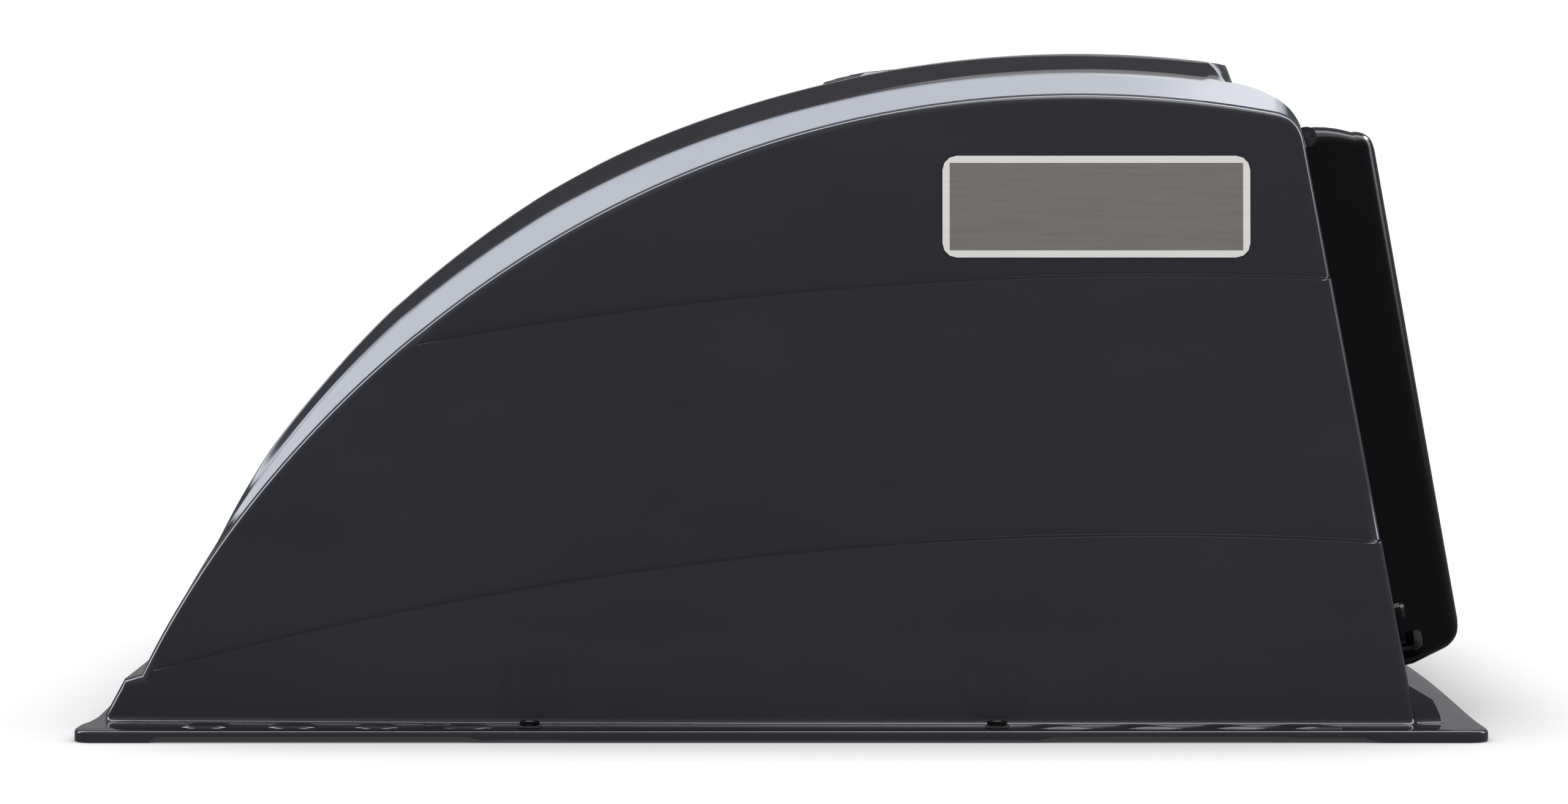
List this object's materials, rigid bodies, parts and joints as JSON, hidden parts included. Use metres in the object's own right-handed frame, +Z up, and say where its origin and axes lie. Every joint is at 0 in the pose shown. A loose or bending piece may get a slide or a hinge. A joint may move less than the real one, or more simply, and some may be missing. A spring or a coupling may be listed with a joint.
{
  "type": "roof vent cover",
  "caption": "Smoked plastic hood for a camper roof vent with a louvred rear vent that swings open, turn buttons, insect screen and angle brackets.",
  "frame": {"origin": "centre of the foot print, on the plane of the corner feet", "axes": "+X towards the louvred rear face, +Y across the width, +Z up"},
  "size_m": [0.6, 0.476, 0.2922],
  "materials": {
    "smoke_plastic": "smoked translucent plastic, glossy moulded skin",
    "black_plastic": "opaque black, glossy",
    "zinc_steel": "zinc plated sheet steel",
    "dark_steel": "black oxide steel, satin",
    "rubber": "matt",
    "screen_mesh": "woven insect mesh",
    "label_film": "plain adhesive film, satin"
  },
  "bodies": {
    "cover": {"bracket_front_left": "zinc_steel", "bracket_front_right": "zinc_steel", "bracket_rear_left": "zinc_steel", "bracket_rear_right": "zinc_steel", "hinge_pin_left": "dark_steel", "hinge_pin_right": "dark_steel", "hood": "smoke_plastic", "nut_front_left": "black_plastic", "nut_front_right": "black_plastic", "nut_rear_left": "black_plastic", "nut_rear_right": "black_plastic", "rubber_washer_front_left": "rubber", "rubber_washer_front_right": "rubber", "rubber_washer_rear_left": "rubber", "rubber_washer_rear_right": "rubber", "side_label_left": "label_film", "side_label_right": "label_film", "turn_button_left_screw": "dark_steel", "turn_button_right_screw": "dark_steel"},
    "rear_vent": {"louvred_vent": "black_plastic", "screen_frame": "black_plastic", "screen_mesh": "screen_mesh"},
    "left_button": {"turn_button_left": "black_plastic"},
    "right_button": {"turn_button_right": "black_plastic"}
  },
  "joints": [
    {"name": "rear_vent_hinge", "type": "hinge", "parent": "cover", "child": "rear_vent", "pos_m": [0.22584, 0, 0.25287], "axis": [0, -1, 0], "range_deg": [0, 75]},
    {"name": "left_button_turn", "type": "hinge", "parent": "cover", "child": "left_button", "pos_m": [0.25894, -0.1865, 0.04868], "axis": [0.9833, 0, 0.1819], "range_deg": [0, 90]},
    {"name": "right_button_turn", "type": "hinge", "parent": "cover", "child": "right_button", "pos_m": [0.25894, 0.1865, 0.04868], "axis": [-0.9833, 0, -0.1819], "range_deg": [0, 90]}
  ]
}
